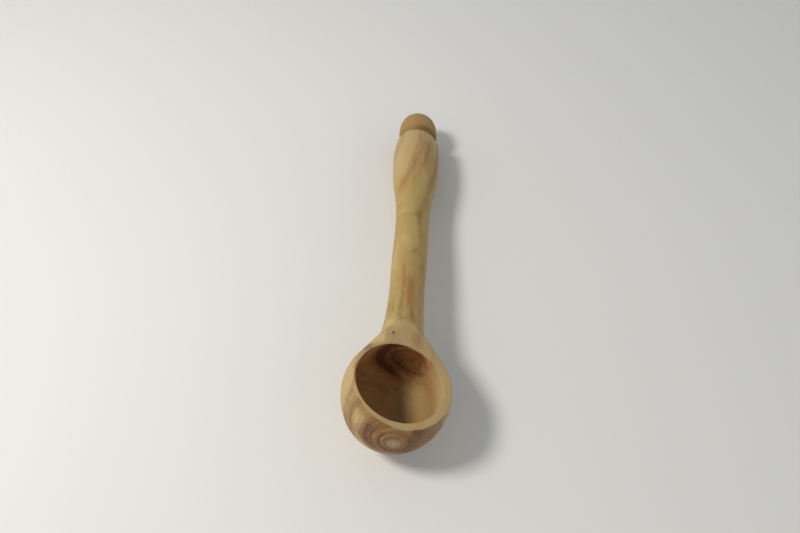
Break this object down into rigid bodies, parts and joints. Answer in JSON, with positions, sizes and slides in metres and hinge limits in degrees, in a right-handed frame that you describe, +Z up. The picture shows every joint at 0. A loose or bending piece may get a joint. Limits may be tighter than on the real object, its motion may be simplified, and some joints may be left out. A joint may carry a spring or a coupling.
{
  "type": "mustard spoon",
  "caption": "Small turned wooden spoon with a deep round bowl sawn flat at the rim, a slim neck, a bulbous handle and a grooved end knob, for taking mustard from a jar.",
  "frame": {"origin": "on the surface that the spoon lies on, under the middle of its box", "axes": "+Y from the bowl to the end knob, +Z up, +X to the right seen from the bowl's end; the spoon lies as it settles by its weight, with the hollow facing up and turned 15 degrees towards +X"},
  "size_m": [0.0304, 0.1386, 0.025],
  "materials": {
    "wood": "fine-turned, lightly oiled, satin"
  },
  "bodies": {
    "root": {"bowl": "wood", "handle": "wood", "end_knob": "wood"}
  },
  "joints": []
}
